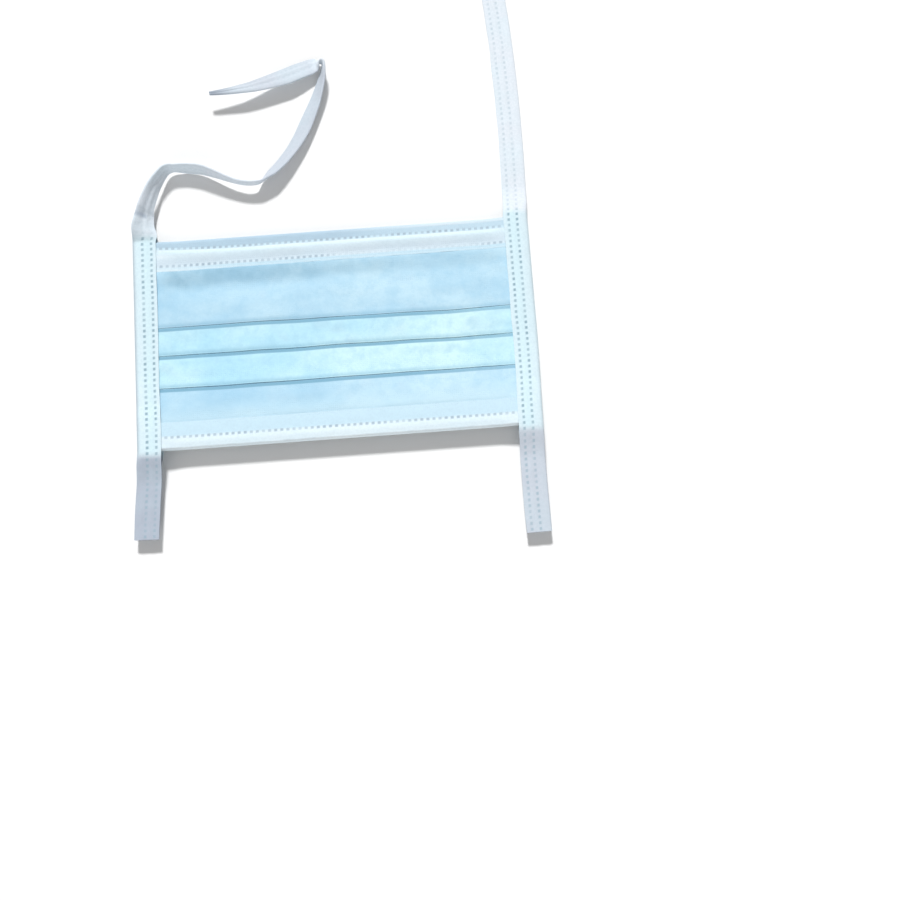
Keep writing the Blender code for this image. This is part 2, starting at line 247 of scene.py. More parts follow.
# Light: a key from beyond the nose edge, a low soft fill from the viewer, an even sky
Sun = namedtuple("Sun", "name elevation azimuth strength softness")
SUNS = (
    Sun(name="key", elevation=47.0, azimuth=3.0, strength=3.62, softness=8.0),
    Sun(name="fill", elevation=24.0, azimuth=172.0, strength=1.30, softness=50.0),
)
SKY_STRENGTH = 0.32
FLOOR_COLOUR = (0.80, 0.80, 0.80, 1.0)
BRIGHTEST = 0.92

# Display colours of the cloth, 0 to 255
PANEL_DEEP = (170, 213, 238)
PANEL_PALE = (204, 235, 249)
STRIP_DEEP = (182, 230, 250)
STRIP_PALE = (214, 248, 254)
GREY_CLOUD = (182, 208, 228)
BLUE_SPECK = (150, 196, 226)
BLUE_MOTTLE = (160, 206, 232)
HEM_SHADE = (138, 182, 206)
CHIN_PALE = (206, 234, 246)
# Painted shade along each pleat edge: shading over the lip and a shadow band below it
PLEAT_SHADOW_COLOUR = (128, 177, 202)
# White cloth colours: plain; tinted where blue cloth shows through; painted shade; deep, a painted
# shade on the tapes' folded edge and slanted tip and on the nose hem's top band, where blue cloth also
# shows through; and weld dots
WhiteCloth = namedtuple("WhiteCloth", "plain tinted dim deep weld")
HEM_COLOURS = WhiteCloth(
    plain=(238, 249, 254),
    tinted=(202, 231, 246),
    dim=(206, 214, 228),
    deep=(180, 206, 224),
    weld=(172, 192, 207),
)
TAPE_COLOURS = WhiteCloth(
    plain=(232, 239, 247),
    tinted=(214, 243, 251),
    dim=(178, 186, 201),
    deep=(150, 160, 176),
    weld=(150, 178, 192),
)

# Sockets of a colour Mix node
MIX_FIRST = 6
MIX_SECOND = 7
MIX_RESULT = 2

# Noise scales, in features per metre
CLOUD_SCALE = 42.0
BOND_POINT_SCALE = 1150.0
FIBRE_SCALE = 2600.0
HANDLED_SCALE = 90.0


def smoothstep(value):
    """Ease from 0 to 1 with flat ends, for numbers and arrays."""
    value = np.clip(value, 0.0, 1.0)
    return value * value * (3.0 - 2.0 * value)


def mix(low, high, share):
    """Straight blend between two values."""
    return low + (high - low) * share


def hill(value, centre, reach):
    """1 at the centre and 0 from reach on, with round shoulders."""
    return smoothstep(1.0 - np.abs(value - centre) / reach)


def plateau(value, low, high, soft):
    """1 between low and high, falling to 0 over soft on either side."""
    return smoothstep((value - low) / soft + 1.0) * smoothstep((high - value) / soft + 1.0)


class Ripple:
    """Smooth unevenness of about -1 to 1: a seeded sum of waves in all directions."""

    def __init__(self, seed, shortest, longest, count=16, stretch=1.0):
        draw = np.random.default_rng(seed)
        length = shortest * (longest / shortest) ** draw.random(count)
        angle = draw.random(count) * 2 * math.pi
        self.kx = np.cos(angle) * 2 * math.pi / length / stretch
        self.ky = np.sin(angle) * 2 * math.pi / length
        self.phase = draw.random(count) * 2 * math.pi
        self.weight = length / longest
        self.weight = self.weight / math.sqrt((self.weight ** 2).sum() / 2) / 2

    def __call__(self, x, y):
        total = np.zeros(np.broadcast(x, y).shape)
        for kx, ky, phase, weight in zip(self.kx, self.ky, self.phase, self.weight):
            total += weight * np.cos(kx * x + ky * y + phase)
        return total


def edge_ease(x):
    """0 over the middle of the body and 1 inside the tapes."""
    return smoothstep(1.0 - (TAPE_INNER_EDGE - np.abs(x)) / EASE_LENGTH)


def dots(along, across, rows, pitch=PITCH):
    """1 inside the weld dots of some rows and 0 between them."""
    phase = (along / pitch) % 1.0 - 0.5
    lengthwise = smoothstep((DOT_LENGTH / 2 - np.abs(phase) * pitch) / DOT_SOFTNESS + 0.5)
    mask = np.zeros(np.broadcast(along, across).shape)
    for row in rows:
        crosswise = smoothstep((DOT_WIDTH / 2 - np.abs(across - row)) / DOT_SOFTNESS + 0.5)
        mask = np.maximum(mask, lengthwise * crosswise)
    return mask


def even_steps(start, end, step):
    """Evenly spaced values from start to end, about a step apart."""
    count = max(1, round(abs(end - start) / step))
    return list(np.linspace(start, end, count + 1))


def weld_columns(reach):
    """Places across the body whose spacing fits the hems' weld dots."""
    step = HEM_PITCH / COLUMNS_PER_PITCH
    inside = np.arange(-math.floor(reach / step), math.floor(reach / step) + 1) * step
    return np.concatenate(([-reach], inside, [reach]))


def make_sheet(name, centre, uv, attributes, top=CLOTH / 2, bottom=CLOTH / 2):
    """A closed sheet of cloth round a grid of centre points, with per-point attributes."""
    rows, columns = centre.shape[:2]
    down = np.gradient(centre, axis=0)
    across = np.gradient(centre, axis=1)
    normal = np.cross(down, across)
    normal /= np.maximum(np.linalg.norm(normal, axis=2, keepdims=True), 1e-12)
    front = centre + normal * np.broadcast_to(top, (rows, columns))[..., None]
    back = centre - normal * np.broadcast_to(bottom, (rows, columns))[..., None]
    points = np.concatenate((front.reshape(-1, 3), back.reshape(-1, 3)))
    index = np.arange(rows * columns).reshape(rows, columns)
    under = index + rows * columns
    quads = [
        np.stack((index[:-1, :-1], index[1:, :-1], index[1:, 1:], index[:-1, 1:]), axis=-1),
        np.stack((under[:-1, :-1], under[:-1, 1:], under[1:, 1:], under[1:, :-1]), axis=-1),
    ]
    quads = [q.reshape(-1, 4) for q in quads]
    rims = (
        (index[0, :], under[0, :]),
        (index[:, -1], under[:, -1]),
        (index[-1, ::-1], under[-1, ::-1]),
        (index[::-1, 0], under[::-1, 0]),
    )
    for upper, lower in rims:
        quads.append(np.stack((upper[:-1], upper[1:], lower[1:], lower[:-1]), axis=-1))
    faces = np.concatenate(quads).astype(np.int32)
    mesh = bpy.data.meshes.new(name)
    mesh.vertices.add(len(points))
    mesh.vertices.foreach_set("co", points.astype(np.float32).ravel())
    mesh.loops.add(faces.size)
    mesh.loops.foreach_set("vertex_index", faces.ravel())
    mesh.polygons.add(len(faces))
    mesh.polygons.foreach_set("loop_start", np.arange(0, faces.size, 4, dtype=np.int32))
    mesh.update(calc_edges=True)
    flat = np.concatenate((uv.reshape(-1, 2), uv.reshape(-1, 2)))[faces.ravel()]
    layer = mesh.uv_layers.new(name="cloth")
    layer.data.foreach_set("uv", flat.astype(np.float32).ravel())
    for key, values in attributes.items():
        values = np.broadcast_to(values, (rows, columns)).reshape(-1)
        layer = mesh.attributes.new(key, "FLOAT", "POINT")
        layer.data.foreach_set("value", np.tile(values, 2).astype(np.float32))
    mesh.validate()
    mesh.shade_smooth()
    mesh.set_sharp_from_angle(angle=math.radians(70))
    item = bpy.data.objects.new(name, mesh)
    bpy.context.scene.collection.objects.link(item)
    return item


def flat_uv(distance, columns):
    """Flat coordinates of the cut sheet in metres: across, then along."""
    along, across = np.meshgrid(distance, columns, indexing="ij")
    return np.stack((across, along), axis=-1)


def arc_length(v, z):
    """Distance along a path from its start."""
    return np.concatenate(([0.0], np.cumsum(np.hypot(np.diff(v), np.diff(z)))))


def nodes_of(material):
    """A fresh node tree with its shader, ready to be wired."""
    material.use_nodes = True
    tree = material.node_tree
    return tree, tree.nodes["Principled BSDF"]


class Wiring:
    """Short ways to add and join shader nodes."""

    def __init__(self, name):
        self.material = bpy.data.materials.new(name)
        self.tree, self.shader = nodes_of(self.material)
        self.coordinates = self.tree.nodes.new("ShaderNodeTexCoord")

    def link(self, source, target):
        self.tree.links.new(source, target)

    def attribute(self, name):
        node = self.tree.nodes.new("ShaderNodeAttribute")
        node.attribute_name = name
        return node.outputs["Fac"]

    def noise(self, scale, detail=2.0, roughness=0.5, stretch=(1.0, 1.0, 1.0), seed=0.0):
        mapping = self.tree.nodes.new("ShaderNodeMapping")
        mapping.inputs["Scale"].default_value = stretch
        mapping.inputs["Location"].default_value = (seed, seed * 0.7, seed * 0.3)
        self.link(self.coordinates.outputs["Object"], mapping.inputs["Vector"])
        node = self.tree.nodes.new("ShaderNodeTexNoise")
        node.inputs["Scale"].default_value = scale
        node.inputs["Detail"].default_value = detail
        node.inputs["Roughness"].default_value = roughness
        self.link(mapping.outputs["Vector"], node.inputs["Vector"])
        return node.outputs["Fac"]

    def cells(self, scale):
        node = self.tree.nodes.new("ShaderNodeTexVoronoi")
        node.inputs["Scale"].default_value = scale
        node.inputs["Randomness"].default_value = 0.35
        self.link(self.coordinates.outputs["Object"], node.inputs["Vector"])
        return node.outputs["Distance"]

    def spread(self, value, low, high, out_low=0.0, out_high=1.0):
        node = self.tree.nodes.new("ShaderNodeMapRange")
        node.interpolation_type = "SMOOTHSTEP"
        sockets = ("From Min", "From Max", "To Min", "To Max")
        for socket, number in zip(sockets, (low, high, out_low, out_high)):
            node.inputs[socket].default_value = number
        self.link(value, node.inputs["Value"])
        return node.outputs["Result"]

    def math(self, operation, first, second):
        node = self.tree.nodes.new("ShaderNodeMath")
        node.operation = operation
        for slot, value in zip(node.inputs, (first, second)):
            if isinstance(value, (int, float)):
                slot.default_value = value
            else:
                self.link(value, slot)
        return node.outputs["Value"]

    def colour_mix(self, share, first, second, blend="MIX"):
        node = self.tree.nodes.new("ShaderNodeMix")
        node.data_type = "RGBA"
        node.blend_type = blend
        if isinstance(share, (int, float)):
            node.inputs["Factor"].default_value = share
        else:
            self.link(share, node.inputs["Factor"])
        for slot, value in ((node.inputs[MIX_FIRST], first), (node.inputs[MIX_SECOND], second)):
            if isinstance(value, tuple):
                slot.default_value = value
            else:
                self.link(value, slot)
        return node.outputs[MIX_RESULT]

    def bump(self, height, distance, strength=1.0, normal=None):
        node = self.tree.nodes.new("ShaderNodeBump")
        node.inputs["Strength"].default_value = strength
        node.inputs["Distance"].default_value = distance
        self.link(height, node.inputs["Height"])
        if normal is not None:
            self.link(normal, node.inputs["Normal"])
        return node.outputs["Normal"]

    def finish(self, colour, normal, roughness=0.9, sheen=0.12):
        self.link(colour, self.shader.inputs["Base Color"])
        self.link(normal, self.shader.inputs["Normal"])
        self.shader.inputs["Roughness"].default_value = roughness
        self.shader.inputs["Specular IOR Level"].default_value = 0.2
        self.shader.inputs["Sheen Weight"].default_value = sheen
        self.shader.inputs["Sheen Roughness"].default_value = 0.6
        return self.material


def seen_as(display):
    """Surface colour that shows as a display colour where the floor shows white."""
    linear = []
    for value in display:
        value = value / 255.0
        value = value / 12.92 if value <= 0.04045 else ((value + 0.055) / 1.055) ** 2.4
        linear.append(min(BRIGHTEST, value * FLOOR_COLOUR[0]))
    return (*linear, 1.0)


def fibre_normal(wiring, emboss=0.05 * MM):
    """Bond points of a spunbond cloth over fine fibres and a soft handled unevenness."""
    soft = wiring.noise(HANDLED_SCALE, detail=3.0, seed=3.1)
    normal = wiring.bump(soft, 0.9 * MM, strength=0.5)
    points = wiring.spread(wiring.cells(BOND_POINT_SCALE), 0.10, 0.42)
    normal = wiring.bump(points, emboss, normal=normal)
    fibres = wiring.noise(FIBRE_SCALE, detail=2.0, stretch=(1.0, 0.45, 1.0), seed=1.7)
    return wiring.bump(fibres, 0.04 * MM, normal=normal)


def outer_cloth_material():
    """Pale blue nonwoven: cloudy, brighter on the pleat strips, paler towards the right as painted
    light, with painted shade under the nose hem and along each pleat edge.
    """
    w = Wiring("outer_cloth")
    cloud = w.noise(CLOUD_SCALE, detail=3.0, roughness=0.55, stretch=(0.7, 1.0, 1.0))
    cloud = w.math("MULTIPLY", w.spread(cloud, 0.34, 0.68), 0.6)
    # Painted light: the cloth pales towards the right
    share = w.math("ADD", cloud, w.math("MULTIPLY", w.attribute("painted_light_rightward"), 0.4))
    panel = w.colour_mix(share, seen_as(PANEL_DEEP), seen_as(PANEL_PALE))
    strip = w.colour_mix(share, seen_as(STRIP_DEEP), seen_as(STRIP_PALE))
    colour = w.colour_mix(w.attribute("strip"), panel, strip)
    grey = w.spread(w.noise(75.0, detail=2.0, seed=9.0), 0.55, 0.80, 0.0, 0.30)
    colour = w.colour_mix(grey, colour, seen_as(GREY_CLOUD))
    speck = w.spread(w.noise(900.0, detail=2.0, seed=5.0), 0.35, 0.65, 0.0, 0.10)
    colour = w.colour_mix(speck, colour, seen_as(BLUE_SPECK))
    mottle = w.noise(210.0, detail=3.0, roughness=0.6, seed=12.0)
    mottle = w.spread(mottle, 0.42, 0.72, 0.0, 0.30)
    colour = w.colour_mix(mottle, colour, seen_as(BLUE_MOTTLE))
    patches = w.noise(150.0, detail=3.0, roughness=0.6, seed=14.0)
    patches = w.spread(patches, 0.32, 0.70, 0.7, 1.4)
    shade = w.math("MULTIPLY", w.attribute("shade"), patches)
    colour = w.colour_mix(shade, colour, seen_as(HEM_SHADE))
    colour = w.colour_mix(w.attribute("pale"), colour, seen_as(CHIN_PALE))
    # Painted shade along each pleat edge, where the fold mask is set
    colour = w.colour_mix(w.attribute("fold"), colour, seen_as(PLEAT_SHADOW_COLOUR))
    return w.finish(colour, fibre_normal(w))


def white_cloth_material(name, colours):
    """White nonwoven: tinted where blue cloth shows through, darkened by painted shade and by a deeper
    colour where shares of them are given, and pressed at the dots.
    """
    w = Wiring(name)
    plain, tinted, dim, deep, weld = (seen_as(colour) for colour in colours)
    cloud = w.spread(w.noise(60.0, detail=3.0, seed=2.0), 0.35, 0.68, 0.0, 0.18)
    colour = w.colour_mix(w.attribute("dim"), plain, dim)
    colour = w.colour_mix(w.attribute("tint"), colour, tinted)
    # Deeper colour: painted shade on the tapes' folded edge and slanted tip, and on the nose hem's top
    # band
    colour = w.colour_mix(w.attribute("deep"), colour, deep)
    colour = w.colour_mix(cloud, colour, tinted)
    speck = w.spread(w.noise(1000.0, detail=2.0, seed=5.0), 0.35, 0.65, 0.0, 0.10)
    colour = w.colour_mix(speck, colour, weld)
    colour = w.colour_mix(w.attribute("weld"), colour, weld)
    return w.finish(colour, fibre_normal(w))


def wire_material():
    """Plain aluminium with a drawn grain along its length."""
    w = Wiring("hem_wire")
    grain = w.noise(900.0, detail=2.0, stretch=(0.05, 1.0, 1.0))
    colour = w.colour_mix(w.spread(grain, 0.3, 0.7), (0.66, 0.68, 0.71, 1.0), (0.76, 0.78, 0.80, 1.0))
    material = w.finish(colour, w.bump(grain, 0.02 * MM), roughness=0.35, sheen=0.0)
    w.shader.inputs["Metallic"].default_value = 1.0
    return material


def chin_share(v):
    """0 over most of the body, easing to 1 at the chin edge."""
    return smoothstep(1.0 - (BODY_HEIGHT - v) / CHIN_LIFT_LENGTH)


def chin_rise(v):
    """How far the body and its tapes bend up off the floor towards the chin edge."""
    return CHIN_LIFT * chin_share(v)


def drawn_in(x, share):
    """Places across the body, drawn in a little towards the chin edge."""
    return x * (1.0 - CHIN_NARROWING / HALF_WIDTH * share)


def body_rise(x, v):
    """How far the front cloth is raised: in the middle, into the tapes and at the chin."""
    down = v / BODY_HEIGHT
    inner = 1.0 - np.abs(x) / TAPE_INNER_EDGE
    middle = smoothstep((down - 0.12) / 0.25) * smoothstep((0.90 - down) / 0.14)
    puffed = smoothstep(inner / 0.25) * middle * PUFF
    return puffed + edge_ease(x) * TAPE_LIFT + chin_rise(v)


def panel_level(v):
    """Level of the front cloth: low under the wire, and up against both hems' edges."""
    return mix(FRONT_LEVEL, PANEL_LEVEL, smoothstep((v - NOSE_ROW_2 + 0.8 * MM) / (1.6 * MM)))


def pleat_section():
    """Section of the front cloth: distance down, height in layers, lift and strip share."""
    turn = LAYER_STEP / 2
    tip = turn + FRONT_CLOTH / 2
    section = []

    def run(start, end, step, level, lift=lambda v: 0.0, strip=0.0):
        for v in even_steps(start, end, step)[:-1]:
            section.append((v, level(v), lift(v), strip))

    previous = HEM_START
    for index, pleat in enumerate(PLEATS):
        edge = pleat.edge * BODY_HEIGHT
        front = edge - tip
        back = edge - pleat.depth * BODY_HEIGHT + tip
        rise_end = back - CLIMB_END
        rise_start = previous - FOLD_OVERLAP if index else back - CLIMB_LENGTH
        depth = front - back
        strip = 1.0 if index else 0.0

        def level(v, low=rise_start, high=rise_end):
            return 2.0 * smoothstep((v - low) / (high - low))

        def lift(v, back=back, depth=depth):
            return float(np.clip((v - back) / depth, 0.0, 1.0)) ** 1.5

        start = previous
        if index:
            fine_end = back + FOLD_OVERLAP
            run(previous - FOLD_OVERLAP, fine_end, CLIMB_STEP, level, lift, strip)
            start = fine_end
        run(start, front - LIP_LENGTH, PANEL_STEP, level, lift, strip)
        run(front - LIP_LENGTH, front, LIP_STEP, level, lift, strip)
        for angle in np.radians(np.linspace(90, -90, 9))[:-1]:
            v = front + turn * math.cos(angle)
            section.append((v, 1.5 + 0.5 * math.sin(angle), lift(v), strip))
        run(front, back, INSIDE_STEP, lambda v: 1.0, lambda v: 0.5 * lift(v), strip)
        for angle in np.radians(np.linspace(90, 270, 7))[:-1]:
            section.append((back + turn * math.cos(angle), 0.5 + 0.5 * math.sin(angle), 0.0, 1.0))
        run(back, edge - FOLD_OVERLAP, INSIDE_STEP, lambda v: 0.0, strip=1.0)
        previous = edge
    run(previous - FOLD_OVERLAP, previous + BELOW_LAST, LIP_STEP, lambda v: 0.0)
    run(previous + BELOW_LAST, BODY_HEIGHT - HEM_START, PANEL_STEP, lambda v: 0.0)
    section.append((BODY_HEIGHT - HEM_START, 0.0, 0.0, 0.0))
    return np.array(section)


def build_outer_cloth():
    """The pleated blue sheet, from inside the nose hem to inside the chin hem."""
    section = pleat_section()
    columns = np.linspace(-PLY_EDGE, PLY_EDGE, 205)
    v, x = np.meshgrid(section[:, 0], columns, indexing="ij")
    levels, _ = np.meshgrid(section[:, 1], columns, indexing="ij")
    lifts, _ = np.meshgrid(section[:, 2], columns, indexing="ij")
    strip, _ = np.meshgrid(section[:, 3], columns, indexing="ij")
    # Painted shade along each pleat edge: shading over the lip above the edge and a shadow band below
    # it, weaker towards the right
    fold = np.zeros(v.shape)
    for pleat in PLEATS:
        past = v - pleat.edge * BODY_HEIGHT
        above = 0.55 * smoothstep(1.0 + past / PLEAT_SHADOW_ABOVE) * (past < -0.45 * MM)
        below = 0.95 * plateau(past, 0.5 * MM, PLEAT_SHADOW_BELOW, 0.5 * MM)
        fold = np.maximum(fold, above + below)
    fold *= mix(1.0, 0.75, smoothstep((x / HALF_WIDTH - 0.3) / 0.6))
    ease = edge_ease(x)
    free = 1.0 - ease
    step = LAYER_STEP * mix(1.0, 0.8, ease)
    wander = Ripple(11, 30 * MM, 90 * MM)
    opened = Ripple(12, 25 * MM, 80 * MM)(x, v * 0.3)
    z = panel_level(v) + body_rise(x, v) + levels * step
    z += lifts * free * (0.06 + 0.05 * opened) * MM
    hem_side = mix(1.0, 0.35, smoothstep((x / HALF_WIDTH + 0.55) / 1.1))
    down = v - NOSE_HEM
    crown = hill(down, CROWN_PLACE, PANEL_REACH) * CROWN
    dip = hill(down, DIP_PLACE, PANEL_REACH) * DIP
    crown = crown * smoothstep((down + 1.0 * MM) / (1.2 * MM))
    beside_tape = smoothstep((TAPE_INNER_EDGE + 2.5 * MM - np.abs(x)) / (3.5 * MM))
    z += crown * mix(0.75, 1.0, hem_side) * beside_tape - dip * hem_side * free
    soft = Ripple(13, 9 * MM, 34 * MM, stretch=1.5)(x, v)
    away = plateau(v, NOSE_HEM + 3 * MM, BODY_HEIGHT - CHIN_HEM - 2 * MM, 4 * MM)
    z += soft * free * away * SOFT_WAVES
    creases = Ripple(16, 5 * MM, 11 * MM, stretch=5.0)(x, v)
    z += creases * free * away * FINE_CREASES
    gathers = Ripple(14, 4 * MM, 9 * MM, stretch=4.0)(x, v)
    near_tape = hill(np.abs(x), TAPE_INNER_EDGE - 1 * MM, 9 * MM)
    z += gathers * near_tape * away * TAPE_GATHERS
    down = v / BODY_HEIGHT
    sag = smoothstep((down - 0.20) / 0.18) * (1.0 - 0.7 * smoothstep((down - 0.46) / 0.28))
    sag *= 0.35 + 0.75 * smoothstep((x / HALF_WIDTH + 1.0) / 1.5)
    y = HALF_HEIGHT - v - sag * smoothstep((0.88 - down) / 0.1) * MM
    y = y - wander(x, v) * EDGE_WANDER * away - CHIN_DROP * chin_share(v)
    centre = np.stack((drawn_in(x, chin_share(v)), y, z), axis=-1)
    distance = arc_length(section[:, 0], section[:, 1] * LAYER_STEP)
    border = Ripple(15, 8 * MM, 40 * MM)(x, v * 0.5) * 1.6 * MM
    shade = plateau(v + border, NOSE_HEM - 4 * MM, NOSE_HEM + 5.0 * MM, 4 * MM) * hem_side
    item = make_sheet("outer_cloth", centre, flat_uv(distance, columns), {
        "strip": strip,
        "shade": np.clip(shade * 0.45 * free, 0.0, 1.0),
        "fold": fold,
        "pale": 0.75 * smoothstep((v / BODY_HEIGHT - 0.76) / 0.14),
        # painted light: paler towards the right
        "painted_light_rightward": smoothstep((x / HALF_WIDTH + 1.0) / 1.6),
    }, top=FRONT_CLOTH / 2, bottom=FRONT_CLOTH / 2)
    return item, distance[-1]


def hem_section():
    """Section of the back cloth: nose flap, nose fold, back, chin fold and chin flap."""
    radius = (HEM_LEVEL - BACK_LEVEL) / 2
    middle = BACK_LEVEL + radius
    start, end = HEM_START, BODY_HEIGHT - HEM_START
    reach = HEM_START - CLOTH / 2
    section = [(v, HEM_LEVEL, 1.0) for v in even_steps(NOSE_HEM, start, HEM_STEP)[:-1]]
    for angle in np.radians(np.linspace(90, 270, 11))[:-1]:
        section.append((start + reach * math.cos(angle), middle + radius * math.sin(angle), 0.0))
    section += [(v, BACK_LEVEL, -1.0) for v in even_steps(start, end, BACK_STEP)[:-1]]
    end = BODY_HEIGHT - CLOTH / 2 - FOLD_DEPTH
    for angle in np.radians(np.linspace(-90, 90, 11))[:-1]:
        section.append((end + FOLD_DEPTH * math.cos(angle), middle + radius * math.sin(angle), 0.0))
    section += [(v, HEM_LEVEL, 2.0) for v in even_steps(end, BODY_HEIGHT - CHIN_HEM, HEM_STEP)]
    return np.array(section)


def nose_profile(v):
    """Height of the nose hem over its weld rows: steep above the wire, long below it."""
    up = smoothstep((v - NOSE_ROW_1 - 0.6 * MM) / (2.2 * MM))
    down = smoothstep((NOSE_ROW_2 - 0.3 * MM - v) / (4.9 * MM))
    return up * down


def build_inner_cloth(material):
    """The white back sheet with its nose hem and chin hem turned over onto the front."""
    section = hem_section()
    columns = weld_columns(PLY_EDGE)
    v, x = np.meshgrid(section[:, 0], columns, indexing="ij")
    z, _ = np.meshgrid(section[:, 1], columns, indexing="ij")
    part, _ = np.meshgrid(section[:, 2], columns, indexing="ij")
    lit = smoothstep((x / HALF_WIDTH + 0.9) / 0.5)
    nose = (part == 1.0)
    chin = (part == 2.0)
    ease = edge_ease(x)
    free = 1.0 - ease
    rise = ROW_RISE * (1.0 - smoothstep((x + HALF_WIDTH) / (45 * MM)))
    rise = rise * smoothstep((NOSE_ROW_2 - v) / (6 * MM))
    bulge = nose_profile(v + rise) * WIRE_BULGE * (1.0 - 0.8 * ease)
    bulge *= 1.0 + 0.16 * Ripple(21, 12 * MM, 50 * MM)(x, v * 0.0)
    z = z + nose * bulge
    chin_v = BODY_HEIGHT - v
    chin_lip = smoothstep((chin_v - CHIN_ROW - 0.6 * MM) / (4 * MM)) * CHIN_LIP
    chin_roll = hill(chin_v, 3.1 * MM, 2.4 * MM) * CHIN_ROLL
    z = z + chin * (chin_lip + chin_roll) * free
    off_row = 1.0 - hill(v, NOSE_ROW_1, 1.4 * MM) - hill(v, NOSE_ROW_2, 1.4 * MM)
    off_row = np.where(chin, 1.0 - hill(chin_v, CHIN_ROW, 1.6 * MM), off_row)
    crease = Ripple(22, 3.5 * MM, 14 * MM)(x, v)
    z = z + (nose | chin) * crease * off_row * free * HEM_CREASES
    back_wave = Ripple(23, 18 * MM, 50 * MM)(x, v)
    z = z + (part == -1.0) * np.clip(back_wave, 0.0, 1.0) * free * BACK_WAVES
    z = z + ease * TAPE_LIFT + chin_rise(v)
    wave = Ripple(24, 22 * MM, 70 * MM)(x, v * 0.0)
    flaps = nose & (v > NOSE_ROW_2) | chin & (chin_v > CHIN_ROW + 2 * MM)
    y = HALF_HEIGHT - v + wave * HEM_WANDER * flaps - CHIN_DROP * chin_share(v)
    centre = np.stack((drawn_in(x, chin_share(v)), y, z), axis=-1)
    rows = dots(x, v + rise, (NOSE_ROW_1, NOSE_ROW_2), HEM_PITCH) * nose
    rows = np.maximum(rows, dots(x, chin_v, (CHIN_ROW,), HEM_PITCH) * chin)
    faded = 1.0 - 0.75 * plateau(x, 5 * MM, 60 * MM, 12 * MM) * nose * (v > WIRE_START + WIRE_WIDTH)
    rows = rows * faded * np.clip(0.82 + 0.30 * Ripple(25, 3 * MM, 22 * MM)(x, v * 0.3), 0.3, 1.0)
    tint = nose * plateau(v + rise, 0.0, NOSE_ROW_1 + 0.3 * MM, 0.8 * MM) * 0.75
    # Painted shade: tinted over the wire's upper slope to tone down its highlight where it faces the
    # key light
    tint = tint + nose * hill(v + rise, NOSE_ROW_1 + 2.2 * MM, 2.4 * MM) * 0.45
    tint = tint + nose * plateau(v, NOSE_ROW_2 - 3 * MM, NOSE_ROW_2, 2 * MM) * 0.35
    tint = tint + nose * smoothstep((v - NOSE_ROW_2 - 0.2 * MM) / (0.8 * MM)) * mix(0.35, 0.85, lit)
    tint = tint + chin * mix(0.25, 0.95, smoothstep((chin_v - CHIN_ROW + 0.2 * MM) / (1.2 * MM)))
    # Painted light: the nose hem's deep band eases off towards the right
    painted_light_rightward = smoothstep((x / HALF_WIDTH + 0.1) / 0.7)
    thinned = smoothstep(1.0 - (NOSE_HEM - v) / THIN_EDGE) * nose
    thinned = np.maximum(thinned, smoothstep(1.0 - (CHIN_HEM - chin_v) / THIN_EDGE) * chin)
    # Deep band on the nose hem's rounded top: blue cloth showing through, deepened further as painted
    # shade against the key light there
    edge_band = plateau(v + rise, -1 * MM, NOSE_ROW_1 - 0.6 * MM, 0.6 * MM)
    edge_band = edge_band * (np.abs(part - 0.5) < 1.0)
    distance = arc_length(section[:, 0], section[:, 1])
    item = make_sheet("inner_cloth", centre, flat_uv(distance, columns), {
        "weld": rows,
        "tint": np.clip(tint, 0.0, 1.0),
        # painted shade on the wire bulge's lower slope, above the second weld row
        "dim": nose * hill(v, NOSE_ROW_2 - 1.5 * MM, 3.5 * MM) * 0.5,
        "deep": edge_band * mix(1.0, 0.45, painted_light_rightward),
    }, top=CLOTH / 2 - rows * DOT_DEPTH - thinned * THINNING, bottom=CLOTH / 2)
    item.data.materials.append(material)
    return item, distance[-1]


def build_wire(material):
    """The flat wire in the nose hem, with round corners and a slight wave."""
    reach = TAPE_INNER_EDGE - 1.0 * MM
    columns = np.linspace(-reach, reach, 160)
    downward = np.array(even_steps(WIRE_START, WIRE_START + WIRE_WIDTH, 0.5 * MM))
    v, x = np.meshgrid(downward, columns, indexing="ij")
    z = FRONT_LEVEL + CLOTH / 2 + WIRE_HEIGHT / 2 + 0.05 * MM
    z = z + edge_ease(x) * TAPE_LIFT + 0.03 * MM * Ripple(31, 15 * MM, 50 * MM)(x, v * 0.0)
    centre = np.stack((x, HALF_HEIGHT - v, z), axis=-1)
    across = np.abs(v - WIRE_START - WIRE_WIDTH / 2) / (WIRE_WIDTH / 2)
    half = WIRE_HEIGHT / 2 * np.sqrt(np.clip(1.0 - across ** 6 * 0.9, 0.0, 1.0))
    uv = np.stack((x, v), axis=-1)
    item = make_sheet("hem_wire", centre, uv, {}, top=half, bottom=half)
    item.data.materials.append(material)
    return item


def stack_top(y):
    """Top of the cloth that a tape binds, eased along the tape as the weld does."""
    reach = np.arange(0.0, BODY_HEIGHT, 0.5 * MM)
    section = pleat_section()
    top = np.full(len(reach), 0.0)
    near = np.searchsorted(reach, section[:, 0]).clip(0, len(reach) - 1)
    np.maximum.at(top, near, section[:, 1])
    widest = round(TAPE_EASE / (0.5 * MM))
    padded = np.pad(top, widest, mode="edge")
    top = np.max([padded[k:k + len(reach)] for k in range(2 * widest + 1)], axis=0)
    height = PANEL_LEVEL + TAPE_LIFT + CLOTH / 2 + top * LAYER_STEP * 0.8
    hem = HEM_LEVEL + TAPE_LIFT + CLOTH / 2 + 0.1 * MM
    hemmed = (reach < NOSE_HEM + TAPE_EASE) | (reach > BODY_HEIGHT - CHIN_HEM - TAPE_EASE)
    height = np.where(hemmed, np.maximum(height, hem), height)
    kernel = np.hanning(2 * widest + 1)
    kernel /= kernel.sum()
    height = np.convolve(np.pad(height, widest, mode="edge"), kernel, mode="same")[widest:-widest]
    return np.interp(HALF_HEIGHT - y, reach, height)


